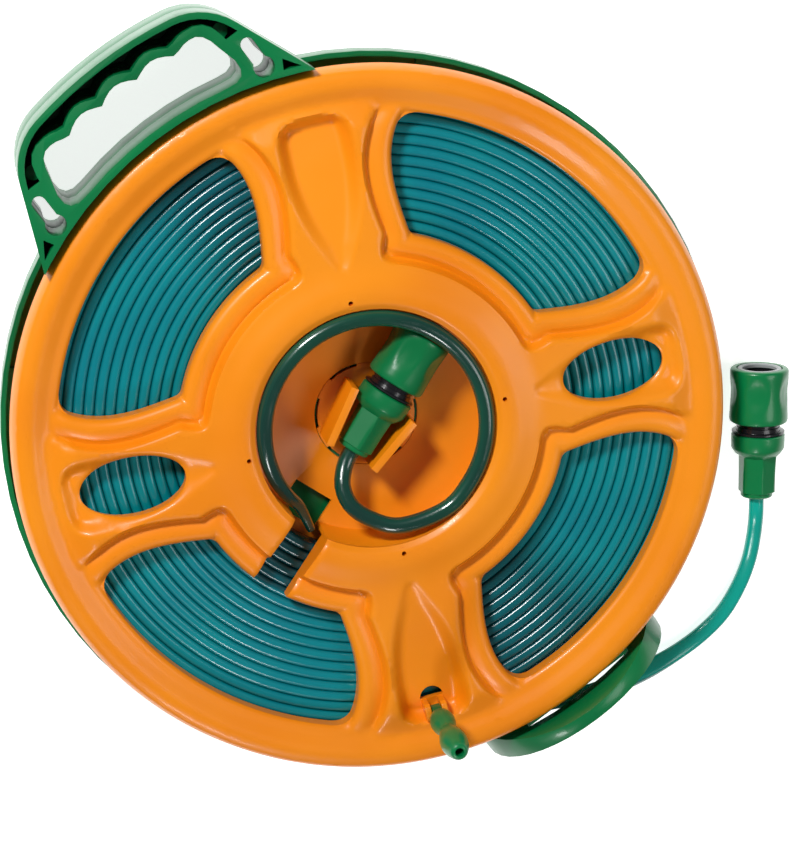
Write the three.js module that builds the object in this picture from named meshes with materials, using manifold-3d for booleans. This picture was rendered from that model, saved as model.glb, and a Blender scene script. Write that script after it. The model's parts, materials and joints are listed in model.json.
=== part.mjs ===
// Flat-hose reel cassette: a hose wound on edge on a spool, which turns on a frame with a handle and a foot.
// Millimetres. The cassette lies on its back: the spool's axis is +Z, out of the front disc,
// and the origin is where that axis meets the back face of the frame. +Y points to the carrying handle.
import * as THREE from "three";
import { mergeVertices } from "three/addons/utils/BufferGeometryUtils.js";
import Module from "manifold-3d";

const wasm = await Module();
wasm.setup();

// ---- driving dimensions -------------------------------------------------------------------------------
const gap = 0.3; // between pieces that touch
const slip = 0.4; // between pieces that turn or slide on each other
const skin = 2.5; // wall of the orange mouldings

const disc = { radius: 195 };
const hose = { width: 17, turnClear: 3, leadDiameter: 10, tailDiameter: 9 };
const spool = { floorLow: 9.5, floorThickness: 3, recessRadius: 65.8, wall: 2, rearRadius: disc.radius - 9 };
const spoolFloorTop = spool.floorLow + spool.floorThickness;
hose.low = spoolFloorTop + hose.turnClear;
hose.top = hose.low + hose.width;
hose.packInner = spool.recessRadius + spool.wall + 6.2;
hose.packOuter = disc.radius - 16.6;
spool.splitHeight = hose.top + 14.5; // where the front disc's skirt meets the drum

// Heights of the front disc's face, all over the top of the winding.
disc.lipHeight = hose.top + 5.5;
disc.ledgeHeight = hose.top + 9.7;
disc.plateauHeight = hose.top + 17.5;
disc.ringHeight = hose.top + 20.5;

const frame = { plate: 3, rimRadius: disc.radius + 4, rimWall: 2.8, rimHeight: 17 };
frame.spokeWidth = 26;
frame.ribHeight = 5;
frame.ribWidth = 3;
frame.plateEdge = frame.rimRadius - 19; // the plate's windows end here
const hub = { plateRadius: 76, ringWall: 6.6, boreRadius: 27.4, grooveDepth: 2, grooveLow: 3.3, grooveHigh: 6.2 };
const slit = { width: 1.6, bridge: 26 }; // round the hub clip; each bridge across it spans this many degrees
const opening = { inner: 105.6, outer: disc.radius - 24.6, ledge: 14.5, valleyRadius: disc.radius - 19 };
opening.middle = (opening.inner + opening.outer) / 2 + 2;
const openingSpan = { inner: 22.65, middle: 29.2, outer: 28.2 }; // half spans, degrees
const spokeAngle = 65.5; // the crank's spoke is the one opposite
const flange = { wall: 2, low: hose.top + 1, ovalLow: hose.top + 7.5 }; // walls round the disc's openings
const slot = { angle: 200.5, width: 21 };
const oval = { radius: (opening.inner + opening.outer) / 2 - 4.4, length: 57.4, width: 32.4 };
const scoop = { inner: 92, outer: disc.radius - 24, width: 32, depthOuter: 11.5 };
const boss = { circle: spool.recessRadius + spool.wall + 3, radius: 2.6, hole: 1.55 };
const crank = { circle: disc.radius - 30, pivotHeight: hose.top + 14, neckWidth: 4.8, trunnion: 2, spindle: 2.2 };
crank.neck = { half: 3.4, top: crank.pivotHeight + 10.5 };
crank.tip = crank.neck.top + 59;
const ear = { thickness: 3.6, half: 5, top: disc.plateauHeight + 1 };
const moon = { radius: 6.5, offset: 5.6 };
const handle = { crown: 230, corner: 36, legLean: 22.6, legX: 79.2, legDown: 32, depth: 52, wall: 3.5 };
handle.top = frame.rimRadius + 46.5;
handle.legY = frame.rimRadius - 2;
const grip = { halfWidth: 57.6, fingerPitch: 23, fingerDepth: 4.2, wall: 5 };
grip.floorRadius = frame.rimRadius + 1.3;
grip.palm = frame.rimRadius + 28;
const keyhole = { x: handle.legX - 11.6, slotWidth: 7.5, holeRadius: 5.7, wall: 2.2 };
keyhole.slotTop = frame.rimRadius + 11.5;
keyhole.holeY = frame.rimRadius - 6.6;
const handleSplit = 26;
const post = { radius: 4.2, depth: 14 };
const foot = { bottom: frame.rimRadius + 7, radius: 60, depth: 62, wall: 2.6, slotLeft: -34, slotRight: 36 };
foot.slotLow = hose.low - 3.5;
foot.slotHigh = hose.top + 2;
foot.pocketTop = 24;
const screw = { shank: 1.7, head: 3.2, headHeight: 2 };
const coupling = { length: 74, nutLength: 36.6, collarStart: 43.3, collarRadius: 16.45, shankRadius: 9.9, bore: 5.2 };
coupling.waist = coupling.collarRadius - 1.25;
coupling.nutRadius = coupling.collarRadius - 1.45;
coupling.collarBore = coupling.collarRadius - 3.75;
coupling.coreRadius = coupling.collarBore - 1.8;
coupling.socket = coupling.coreRadius - 2;
const prong = { length: 34, thickness: 4.2, height: 27.5, clear: 2.6, start: -3, flare: 8 };
const lead = { angle: 21.5, tip: [-17.6, -6.65], height: spoolFloorTop + coupling.collarRadius + 0.85 };
const tail = { angle: 54.1, height: coupling.collarRadius + 0.35, bearing: -50.144, clear: 29.75 };
tail.tip = [
  (frame.rimRadius + tail.clear) * Math.cos((tail.bearing * Math.PI) / 180),
  (frame.rimRadius + tail.clear) * Math.sin((tail.bearing * Math.PI) / 180),
];

const hubRing = hub.boreRadius + hub.ringWall;
const openingAngles = [-45, 45, 135, 225].map((turn) => spokeAngle + turn);
const crankAngle = spokeAngle + 180;
const quarters = [0, 90, 180, 270];
const above = disc.ringHeight + 20; // cuts in the front disc run up to here

const material = (color, roughness) => new THREE.MeshStandardMaterial({ color, roughness, metalness: 0 });
const green = () => material(0x057d48, 0.38);
const orange = () => material(0xf0901e, 0.36);
const teal = () => material(0x0fa89a, 0.25);
const black = () => material(0x141418, 0.3);
const grey = () => material(0x9aa0a2, 0.45);
const steel = () => new THREE.MeshStandardMaterial({ color: 0xb4b7ba, roughness: 0.3, metalness: 1 });

// ---- solids from geometry -----------------------------------------------------------------------------
const radians = THREE.MathUtils.degToRad;
const polar = (radius, degrees) =>
  new THREE.Vector2(radius * Math.cos(radians(degrees)), radius * Math.sin(radians(degrees)));

function solidOf(geometry) {
  const bare = geometry.index ? geometry.toNonIndexed() : geometry.clone();
  bare.deleteAttribute("normal");
  bare.deleteAttribute("uv");
  const merged = mergeVertices(bare, 1e-3);
  const corners = [];
  for (let i = 0; i < merged.index.count; i += 3) {
    const [a, b, c] = merged.index.array.subarray(i, i + 3);
    if (a !== b && b !== c && c !== a) corners.push(a, b, c);
  }
  const vertProperties = merged.attributes.position.array;
  return new wasm.Manifold(new wasm.Mesh({ numProp: 3, vertProperties, triVerts: new Uint32Array(corners) }));
}

function meshOf(name, solid, finish) {
  const made = solid.getMesh();
  const geometry = new THREE.BufferGeometry();
  geometry.setAttribute("position", new THREE.BufferAttribute(made.vertProperties, 3));
  geometry.setIndex(new THREE.BufferAttribute(made.triVerts, 1));
  geometry.computeVertexNormals();
  const mesh = new THREE.Mesh(geometry, finish);
  mesh.name = name;
  return mesh;
}

// An outline in XY, swept from one height to another.
function prism(points, low, high) {
  const geometry = new THREE.ExtrudeGeometry(new THREE.Shape(points), { depth: high - low, bevelEnabled: false });
  return solidOf(geometry.translate(0, 0, low));
}

// A closed profile of [radius, height] points turned about Z.
function turned(profile, segments) {
  const points = profile.map(([radius, height]) => new THREE.Vector2(radius, height));
  if (THREE.ShapeUtils.area(points) < 0) points.reverse();
  const geometry = new THREE.LatheGeometry([...points, points[0]], segments);
  return solidOf(geometry.rotateX(Math.PI / 2));
}

const ring = (inner, outer, low, high, segments) =>
  turned([[inner, low], [outer, low], [outer, high], [inner, high]], segments);

function rod(radius, low, high, x, y, segments = 12) {
  const geometry = new THREE.CylinderGeometry(radius, radius, high - low, segments).rotateX(Math.PI / 2);
  return solidOf(geometry.translate(x, y, (low + high) / 2));
}

// A box whose length runs outward along a radius of the spool.
function radialBox(degrees, from, to, width, low, high, sideways = 0) {
  const geometry = new THREE.BoxGeometry(to - from, width, high - low);
  geometry.translate((from + to) / 2, sideways, (low + high) / 2);
  return solidOf(geometry.rotateZ(radians(degrees)));
}

function box(x0, x1, y0, y1, z0, z1) {
  const geometry = new THREE.BoxGeometry(x1 - x0, y1 - y0, z1 - z0);
  return solidOf(geometry.translate((x0 + x1) / 2, (y0 + y1) / 2, (z0 + z1) / 2));
}

function arc(radius, from, to, steps) {
  return Array.from({ length: steps + 1 }, (_, i) => polar(radius, from + ((to - from) * i) / steps));
}

const disk = (radius, steps, x = 0, y = 0) =>
  arc(radius, 0, 360 - 360 / steps, steps - 1).map((point) => point.add(new THREE.Vector2(x, y)));

// The other half of an outline that ends on the Y axis.
const mirrored = (right) =>
  right
    .slice(0, -1)
    .reverse()
    .map((point) => new THREE.Vector2(-point.x, point.y));

const add = (solids) => solids.reduce((all, next) => all.add(next));
const sides = [-1, 1];

// ---- frame: back plate, rim, hub and the rear half of the handle ---------------------------------------
// The handle's outline: a shallow crown, two round shoulders and two legs that lean out to the rim.
function handleOutline(inset) {
  const lean = radians(handle.legLean);
  const legLine = new THREE.Vector2(-Math.sin(lean), Math.cos(lean));
  const inward = new THREE.Vector2(-Math.cos(lean), -Math.sin(lean));
  const start = new THREE.Vector2(handle.legX, handle.legY).addScaledVector(inward, handle.corner);
  const crownCentre = new THREE.Vector2(0, handle.top - handle.crown);
  const offset = start.clone().sub(crownCentre);
  const reach = offset.dot(legLine);
  const spare = offset.lengthSq() - (handle.crown - handle.corner) ** 2;
  const shoulder = start.clone().addScaledVector(legLine, -reach + Math.sqrt(reach * reach - spare));
  const join = shoulder.clone().sub(crownCentre);
  const joinAngle = THREE.MathUtils.radToDeg(Math.atan2(join.y, join.x));
  const bend = handle.corner - inset;
  const leg = new THREE.Vector2(handle.legX, handle.legY).addScaledVector(inward, inset);
  const right = [
    leg.clone().addScaledVector(legLine, -handle.legDown),
    ...arc(bend, handle.legLean, joinAngle, 7).map((point) => point.add(shoulder)),
    ...arc(handle.crown - inset, joinAngle, 90, 4)
      .slice(1)
      .map((point) => point.add(crownCentre)),
  ];
  return [...right, ...mirrored(right)];
}

// The opening for the hand: a floor round the rim, leaning sides and a palm edge with five finger dents.
function gripOutline(grow) {
  const floor = grip.floorRadius - grow;
  const side = grip.halfWidth + grow;
  const fingers = 2 * grip.fingerPitch;
  const palmAt = (x) =>
    grip.palm + grow - (x * x) / 470 + grip.fingerDepth * Math.abs(Math.cos((Math.PI * x) / grip.fingerPitch));
  const floorAt = (x) => Math.sqrt(floor * floor - x * x);
  const cornerX = side - 12;
  const lower = new THREE.QuadraticBezierCurve(
    new THREE.Vector2(cornerX, floorAt(cornerX)),
    new THREE.Vector2(side + 1, floorAt(side)),
    new THREE.Vector2(side, floorAt(side) + 12),
  ).getPoints(4);
  const upper = new THREE.QuadraticBezierCurve(
    new THREE.Vector2(side - 2.8, grip.floorRadius + 13.7 + grow),
    new THREE.Vector2(side - 4.8, palmAt(fingers) + 0.5),
    new THREE.Vector2(fingers - 1.2, palmAt(fingers - 1.2)),
  ).getPoints(4);
  const steps = 12;
  const right = [...lower, ...upper];
  for (let i = 1; i <= steps; i += 1) {
    const x = (fingers - 1.2) * (1 - i / steps);
    right.push(new THREE.Vector2(x, palmAt(x)));
  }
  const floorEdge = [-0.66, -0.33, 0, 0.33, 0.66].map((t) => new THREE.Vector2(t * cornerX, floorAt(t * cornerX)));
  return [...right, ...mirrored(right), ...floorEdge];
}

function keyholeSolid(side, grow, low, high) {
  const half = keyhole.slotWidth / 2 + grow;
  const x = side * keyhole.x;
  const neckTop = keyhole.slotTop - keyhole.slotWidth / 2;
  return rod(keyhole.holeRadius + grow, low, high, x, keyhole.holeY, 16)
    .add(box(x - half, x + half, keyhole.holeY, neckTop, low, high))
    .add(rod(half, low, high, x, neckTop, 16));
}

const handleScrewAt = { x: grip.halfWidth + 3.2, y: frame.rimRadius + 20.6 };
const blockTop = frame.rimRadius + 16.5; // the finger channel ends here, and the solid-faced side blocks begin
const rimInner = frame.rimRadius - frame.rimWall;

function handleShell(low, high) {
  return prism(handleOutline(0), low, high)
    .subtract(prism(gripOutline(0), low - 1, high + 1))
    .subtract(prism(disk(rimInner, 72), low - 1, high + 1));
}

// The hollow between the handle's outer wall and its palm wall.
function handleHollow(low, high) {
  return prism(handleOutline(handle.wall), low, high)
    .subtract(prism(gripOutline(grip.wall), low - 1, high + 1))
    .subtract(prism(disk(frame.rimRadius + 0.8, 72), low - 1, high + 1));
}

function screwPosts(low, high) {
  return sides.map((side) => rod(post.radius, low, high, side * handleScrewAt.x, handleScrewAt.y, 10));
}

// The plate's windows lie between its four diagonal spokes.
function plateWindow(middle, inner, outer) {
  const margin = (radius) => 45 - THREE.MathUtils.radToDeg(Math.asin(frame.spokeWidth / 2 / radius));
  const outline = [
    ...arc(outer, middle - margin(outer), middle + margin(outer), 10),
    ...arc(inner, middle + margin(inner), middle - margin(inner), 6),
  ];
  return prism(outline, -1, frame.plate + 1);
}

function rearFrame() {
  const rearTop = handleSplit - gap;
  let body = prism(disk(frame.rimRadius, 72), 0, frame.plate);
  quarters.forEach((middle) => {
    body = body.subtract(plateWindow(middle, hub.plateRadius, frame.plateEdge));
  });
  body = body.add(ring(rimInner, frame.rimRadius, 0, frame.rimHeight, 72));
  [45, 135, 225, 315].forEach((middle) => {
    const top = frame.plate + frame.ribHeight;
    body = body.add(radialBox(middle, hubRing - 1, rimInner + 1, frame.ribWidth, 1, top));
  });
  const groove = hub.boreRadius + hub.grooveDepth;
  const hubTop = spool.floorLow - gap;
  body = body.add(
    turned(
      [
        [hub.boreRadius, 1], [hubRing, 1], [hubRing, hubTop], [hub.boreRadius, hubTop],
        [hub.boreRadius, hub.grooveHigh], [groove, hub.grooveHigh], [groove, hub.grooveLow],
        [hub.boreRadius, hub.grooveLow],
      ],
      36,
    ),
  );
  const floor = 2.5;
  const keyTubes = add(sides.map((side) => keyholeSolid(side, keyhole.wall, floor - 1, rearTop)));
  const shell = handleShell(0, rearTop).subtract(handleHollow(floor, rearTop + 1));
  body = body.add(shell).add(keyTubes.subtract(prism(disk(rimInner, 72), 0, rearTop)));
  body = body.add(add(screwPosts(0, rearTop)));
  sides.forEach((side) => {
    const { x, y } = handleScrewAt;
    body = body.subtract(keyholeSolid(side, 0, -1, rearTop + 1));
    body = body.subtract(rod(screw.head + slip, -1, screw.headHeight + 1, side * x, y));
    body = body.subtract(rod(screw.shank + gap, 0, rearTop + 1, side * x, y));
    const lugX = side * footScrew.x;
    const lug = box(lugX - 4.5, lugX + 4.5, -rimInner - 1, 8 - rimInner + 0.2, frame.plate / 2, footScrew.z + 6.5);
    body = body.add(lug.intersect(prism(disk(rimInner + 1, 72), 0, 20)));
  });
  sides.forEach((side) => {
    body = body.subtract(footScrewHole(side, screw.shank + gap, -foot.bottom - 1, -frame.plateEdge));
  });
  const { slotLeft, slotRight, slotLow, slotHigh } = foot;
  return body.subtract(box(slotLeft, slotRight, -foot.bottom, 13 - frame.rimRadius, slotLow, slotHigh + 2));
}

function handleFront() {
  const low = handleSplit;
  const top = handle.depth;
  const hollow = handleHollow(low - 1, top + 1);
  const wide = handle.legX + 11;
  const channel = hollow.intersect(box(-wide, wide, blockTop, handle.top + 5, low - 1, top + 1));
  const blockSpace = box(-wide, wide, blockTop - 56, blockTop + 0.5, low - 1, top);
  const blocks = handleHollow(low - 1, top - skin).intersect(blockSpace);
  const keyTubes = add(sides.map((side) => keyholeSolid(side, keyhole.wall, low, top)));
  const outsideRim = prism(disk(rimInner, 72), low - 1, top + 1);
  let body = handleShell(low, top).subtract(channel);
  body = body.subtract(blocks).add(keyTubes.subtract(outsideRim));
  body = body.add(add(screwPosts(low, low + post.depth)));
  const legCut = [[-1.6, -6.8], [-4.6, -12.1], [4.4, -15.8]];
  sides.forEach((side) => {
    const { x, y } = handleScrewAt;
    const corner = legCut.map(([dx, dy]) => new THREE.Vector2(side * (handle.legX + dx), handle.legY + dy));
    if (side < 0) corner.reverse();
    body = body.subtract(prism(corner.reverse(), low - 1, top + 1));
    body = body.subtract(keyholeSolid(side, 0, low - 1, top + 1));
    body = body.subtract(rod(screw.shank + gap, low - 1, low + post.depth - 2, side * x, y));
  });
  return body;
}

// A pan-head screw along +Z, its head at the low end.
function screwSolid(low, length, x, y, scale = 1) {
  const neck = low + screw.headHeight * scale;
  const profile = [
    [0, low], [screw.head * scale, low + 0.5], [screw.head * scale, neck], [screw.shank * scale, neck],
    [screw.shank * scale, low + length - 2], [0, low + length],
  ];
  return turned(profile, 10).translate(x, y, 0);
}

// ---- foot: a D-shaped block under the rim, flat where the cassette stands ------------------------------
const footScrew = { x: 44, z: 7.5 };

function footScrewHole(side, radius, from, to) {
  const geometry = new THREE.CylinderGeometry(radius, radius, to - from, 12);
  return solidOf(geometry.translate(side * footScrew.x, (from + to) / 2, footScrew.z));
}

function footBlock() {
  const straight = 2;
  const reach = foot.depth - straight;
  const steps = 20;
  const plan = Array.from({ length: steps + 1 }, (_, i) => {
    const turn = (Math.PI * i) / steps;
    return new THREE.Vector2(foot.radius * Math.cos(turn), straight + reach * Math.sin(turn));
  });
  plan.push(new THREE.Vector2(-foot.radius, 0), new THREE.Vector2(foot.radius, 0));
  const tall = 30;
  const bottom = -foot.bottom;
  const upper = -frame.plateEdge;
  const slab = new THREE.ExtrudeGeometry(new THREE.Shape(plan), { depth: tall, bevelEnabled: false });
  slab.rotateX(Math.PI / 2).translate(0, bottom + tall, 0);
  let body = solidOf(slab).subtract(prism(disk(frame.rimRadius + gap, 72), -1, foot.depth + 1));
  const roof = prism(disk(frame.rimRadius + gap + foot.wall, 72), -1, foot.depth + 1);
  const pockets = [[-foot.radius + 6, foot.slotLeft + 10], [foot.slotRight + 1, foot.radius - 6]];
  sides.forEach((side, index) => {
    const [from, to] = pockets[index];
    const pocket = box(from, to, bottom + foot.wall, upper, -1, foot.pocketTop);
    const pillar = box(side * footScrew.x - 5, side * footScrew.x + 5, bottom, upper, -1, footScrew.z + 8.5);
    body = body.subtract(pocket.subtract(roof).subtract(pillar));
    body = body.subtract(footScrewHole(side, screw.shank + gap, bottom - 1, upper));
    body = body.subtract(footScrewHole(side, screw.head + slip, bottom - 1, bottom + 3));
  });
  return body.subtract(box(foot.slotLeft, foot.slotRight, bottom - 1, upper, foot.slotLow, foot.slotHigh));
}

// ---- spool: drum with its rear flange, front disc and hub clip -----------------------------------------
const clipRadius = hub.boreRadius - slip;
const slitOuter = clipRadius + slit.width;
const discScrewScale = 0.72; // of a frame screw

function drum() {
  const outer = spool.recessRadius + spool.wall;
  const hole = slitOuter;
  let body = turned(
    [
      [hole, spool.floorLow], [spool.rearRadius, spool.floorLow], [spool.rearRadius, spoolFloorTop],
      [outer, spoolFloorTop], [outer, spool.splitHeight], [spool.recessRadius, spool.splitHeight],
      [spool.recessRadius, spoolFloorTop], [hole, spoolFloorTop],
    ],
    60,
  );
  const { recessRadius } = spool;
  const notchTop = spoolFloorTop + 1.5;
  body = body.subtract(radialBox(slot.angle, recessRadius - 5.8, outer + 4.2, slot.width, spoolFloorTop, above));
  body = body.subtract(
    radialBox(slot.angle, recessRadius - 14.8, recessRadius + 3.7, slot.width + 2.5, 0, notchTop, -1.2),
  );
  quarters.forEach((turn) => {
    const at = polar(boss.circle, spokeAngle + turn);
    body = body.subtract(rod(boss.hole, 0, spoolFloorTop + 7.5, at.x, at.y, 8));
    body = body.subtract(rod(screw.head * discScrewScale + gap, 0, spool.floorLow + 1.7, at.x, at.y, 8));
  });
  return body;
}

// The outer face of the front disc, from the recess edge to the lip, as [radius, height].
const plateau = disc.plateauHeight;
const ringTop = disc.ringHeight;
const shelf = { start: spool.recessRadius + 12.2, end: spool.recessRadius + 25.2, edge: disc.radius - 33 };
const bead = { inner: disc.radius - 11, outer: disc.radius - 5 };
const skirt = spool.recessRadius + skin;
const faceProfile = [
  [spool.recessRadius, ringTop - 2.2], [spool.recessRadius + 2.4, ringTop], [shelf.start, ringTop - 0.4],
  [shelf.end, plateau + 0.2], [shelf.edge, plateau], [opening.valleyRadius, plateau - 5.4],
  [bead.inner, plateau - 1.4], [bead.outer, plateau - 2], [disc.radius, disc.lipHeight],
];
const backProfile = [
  [disc.radius - skin, disc.lipHeight], [bead.outer - 0.7, plateau - 4.7], [bead.inner, plateau - 4],
  [opening.valleyRadius, plateau - 8.1], [shelf.edge, plateau - 2.6], [shelf.end, plateau - 2.4],
  [shelf.start, ringTop - 3], [skirt, ringTop - 3], [skirt, spool.splitHeight + gap],
  [spool.recessRadius, spool.splitHeight + gap],
];

// The outline of a window in the disc, pushed out by an amount on its sides, inner and outer edges.
function openingOutline(middle, sideways, inwards, outwards) {
  const inner = opening.inner - inwards;
  const outer = opening.outer + outwards;
  const spanAt = (radius, span) => span + THREE.MathUtils.radToDeg(sideways / radius);
  const flank = (side) => {
    const ends = [
      polar(outer, middle + side * spanAt(outer, openingSpan.outer)),
      polar(inner, middle + side * spanAt(inner, openingSpan.inner)),
    ];
    const bulge = polar(opening.middle, middle + side * spanAt(opening.middle, openingSpan.middle));
    const control = bulge.multiplyScalar(2).sub(ends[0].clone().add(ends[1]).multiplyScalar(0.5));
    return new THREE.QuadraticBezierCurve(ends[0], control, ends[1]).getPoints(4);
  };
  const outerSpan = spanAt(outer, openingSpan.outer);
  const innerSpan = spanAt(inner, openingSpan.inner);
  return [
    ...arc(outer, middle - outerSpan, middle + outerSpan, 6).slice(0, -1),
    ...flank(1),
    ...arc(inner, middle + innerSpan, middle - innerSpan, 4).slice(1, -1),
    ...flank(-1).reverse().slice(0, -1),
  ];
}

function ovalOutline(middle, grow) {
  const { radius, length, width } = oval;
  const outline = new THREE.EllipseCurve(radius, 0, length / 2 + grow, width / 2 + grow).getPoints(20);
  outline.pop();
  return outline.map((point) => point.rotateAround(new THREE.Vector2(0, 0), radians(middle)));
}

// A drop-shaped trough along a spoke, pointed towards the hub.
function scoopOutline(middle, grow) {
  const half = scoop.width / 2 + grow;
  const right = new THREE.CubicBezierCurve(
    new THREE.Vector2(scoop.inner - grow, 0),
    new THREE.Vector2(scoop.inner + 20, -half * 0.75),
    new THREE.Vector2(scoop.outer - 40, -half * 0.8),
    new THREE.Vector2(scoop.outer - 14, -half),
  ).getPoints(4);
  const end = new THREE.CubicBezierCurve(
    new THREE.Vector2(scoop.outer - 14, -half),
    new THREE.Vector2(scoop.outer - 2 + grow, -half),
    new THREE.Vector2(scoop.outer + grow, -half * 0.6),
    new THREE.Vector2(scoop.outer + grow, 0),
  ).getPoints(3);
  const near = [...right, ...end.slice(1)];
  const far = near
    .slice(1, -1)
    .reverse()
    .map((point) => new THREE.Vector2(point.x, -point.y));
  const origin = new THREE.Vector2(0, 0);
  return [...near, ...far].map((point) => point.rotateAround(origin, radians(middle)));
}

// Everything above the trough's sloping floor, moved down by an amount.
function scoopSpace(middle, lower) {
  const top = disc.plateauHeight;
  const side = [
    new THREE.Vector2(scoop.inner - 20, top + 30),
    new THREE.Vector2(scoop.inner - 20, top - lower),
    new THREE.Vector2(scoop.inner, top - lower),
    new THREE.Vector2(scoop.outer - 11, top - scoop.depthOuter - lower),
    new THREE.Vector2(scoop.outer + 20, top - scoop.depthOuter - lower),
    new THREE.Vector2(scoop.outer + 20, top + 30),
  ];
  const geometry = new THREE.ExtrudeGeometry(new THREE.Shape(side), { depth: 60, bevelEnabled: false });
  geometry.translate(0, 0, -30).rotateX(Math.PI / 2).rotateZ(radians(middle));
  return solidOf(geometry);
}

function frontDisc() {
  let body = turned([...faceProfile, ...backProfile], 48);
  const low = flange.low - 3.5;
  const underFace = turned([...faceProfile, [disc.radius, low], [spool.recessRadius, low]], 48);
  const ledgeLow = disc.ledgeHeight - skin;
  openingAngles.forEach((middle) => {
    const margin = opening.valleyRadius - opening.outer;
    const pan = prism(openingOutline(middle, opening.ledge, opening.ledge, margin), ledgeLow, above);
    const inside = openingOutline(middle, opening.ledge - skin, opening.ledge - skin, margin - skin);
    const lip = openingOutline(middle, opening.ledge - gap, opening.ledge - gap, margin - gap);
    body = body.subtract(prism(lip, 0, above));
    body = body.add(pan.intersect(underFace).subtract(prism(inside, disc.ledgeHeight, above)));
    body = body.add(prism(openingOutline(middle, flange.wall, flange.wall, flange.wall), flange.low, ledgeLow + 1));
    body = body.subtract(prism(openingOutline(middle, 0, 0, 0), 0, above));
  });
  [spokeAngle, crankAngle].forEach((middle) => {
    const pan = prism(scoopOutline(middle, skin), low, above).intersect(underFace);
    const trough = prism(scoopOutline(middle, 0), 0, above);
    body = body.subtract(prism(scoopOutline(middle, skin - gap), 0, above));
    body = body.add(pan.intersect(scoopSpace(middle, skin)).subtract(trough.intersect(scoopSpace(middle, 0))));
  });
  [90, 270].forEach((turn) => {
    body = body.add(prism(ovalOutline(spokeAngle + turn, flange.wall), flange.ovalLow, plateau - skin + 1));
    body = body.subtract(prism(ovalOutline(spokeAngle + turn, 0), 0, above));
  });
  const earLow = plateau - scoop.depthOuter - 1;
  const earInner = crank.neckWidth / 2 + slip;
  const [earFrom, earTo] = [crank.circle - ear.half, crank.circle + ear.half];
  sides.forEach((side) => {
    const middle = side * (earInner + ear.thickness / 2);
    body = body.add(radialBox(crankAngle, earFrom, earTo, ear.thickness, earLow, ear.top, middle));
  });
  body = body.subtract(alongTangent(crank.trunnion + slip, 2 * (earInner + ear.thickness) + 2));
  const moonEdge = crank.circle - moon.offset;
  const moonAt = polar(moonEdge, crankAngle);
  const hubSide = radialBox(crankAngle, moonEdge - 2 * moon.radius, moonEdge, 3 * moon.radius, low, above);
  body = body.subtract(rod(moon.radius, low, above, moonAt.x, moonAt.y, 20).intersect(hubSide));
  quarters.forEach((turn) => {
    const at = polar(boss.circle, spokeAngle + turn);
    body = body.add(rod(boss.radius, spool.splitHeight - 23, ringTop - 2, at.x, at.y, 8));
    body = body.subtract(rod(boss.hole, 0, above, at.x, at.y, 8));
  });
  const slotWalls = slot.width + 2 * flange.wall;
  const slotStart = spool.recessRadius + spool.wall + gap;
  body = body.add(radialBox(slot.angle, slotStart, opening.inner, slotWalls, flange.low, plateau - skin));
  return body.subtract(radialBox(slot.angle, spool.recessRadius - 5.8, opening.inner + 4, slot.width, 0, above));
}

// A pin or bore on the crank's pivot axis, which runs along the disc's tangent.
function alongTangent(radius, length) {
  const geometry = new THREE.CylinderGeometry(radius, radius, length, 14);
  geometry.translate(crank.circle, 0, crank.pivotHeight);
  return solidOf(geometry.rotateZ(radians(crankAngle)));
}

function hubClip() {
  const top = spoolFloorTop;
  const legOuter = clipRadius - 0.2;
  const legWall = 2;
  const barb = hub.boreRadius + hub.grooveDepth - slip;
  let body = turned([[0, top - skin], [clipRadius, top - skin], [clipRadius, top], [0, top]], 40);
  const leg = turned(
    [
      [legOuter - legWall, hub.grooveLow + gap], [barb, hub.grooveLow + gap], [barb, hub.grooveHigh - gap - 0.6],
      [legOuter, hub.grooveHigh - gap], [legOuter, top - 1], [legOuter - legWall, top - 1],
    ],
    40,
  );
  const across = slitOuter + 2;
  const arms = [0, 60, 120].map((turn) => radialBox(lead.angle + turn, -across, across, 9, 0, top));
  body = body.add(leg.intersect(add(arms)));
  const rimRing = ring(clipRadius - 1, slitOuter - gap, top - skin, top, 60);
  const bridgeWidth = 2 * clipRadius * Math.sin(radians(slit.bridge / 2));
  const bridges = [30, 90, 150].map((turn) =>
    radialBox(lead.angle + turn, -across, across, bridgeWidth, 0, top),
  );
  body = body.add(rimRing.intersect(add(bridges)));
  const { length, thickness, height, clear, start, flare } = prong;
  const middle = coupling.shankRadius + clear + thickness / 2;
  sides.forEach((side) => {
    const plate = new THREE.BoxGeometry(length, thickness, height);
    plate.translate(start + length / 2, 0, top + height / 2 - 0.5);
    plate.rotateZ(side * radians(flare)).translate(0, side * middle, 0);
    plate.rotateZ(radians(lead.angle)).translate(lead.tip[0], lead.tip[1], 0);
    body = body.add(solidOf(plate));
  });
  return body;
}

// ---- crank: a folding strut with a grip that turns on it ------------------------------------------------
function crankStrut() {
  const { circle, pivotHeight, neckWidth, trunnion, spindle, neck, tip } = crank;
  const at = polar(circle, crankAngle);
  return radialBox(crankAngle, circle - neck.half, circle + neck.half, neckWidth, pivotHeight, neck.top)
    .add(alongTangent(neck.half, neckWidth))
    .add(alongTangent(trunnion, neckWidth + 2 * ear.thickness - 0.2))
    .add(rod(spindle, neck.top - 1, tip - 8, at.x, at.y, 14));
}

function crankGrip() {
  const bore = crank.spindle + slip;
  const low = crank.neck.top + gap;
  const swell = [
    [5.9, 3.5], [6.9, 9], [6.3, 15.5], [4.3, 22], [4.2, 25.5], [6.2, 33], [7.4, 41.5], [7.1, 48], [5.6, 55],
  ].map(([radius, height]) => [radius, crank.neck.top + height]);
  const outer = [[4.2, low], ...swell, [4, crank.tip]];
  const at = polar(crank.circle, crankAngle);
  const profile = [...outer, [bore, crank.tip], [bore, low]];
  return turned(profile, 20).translate(at.x, at.y, 0);
}

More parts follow.
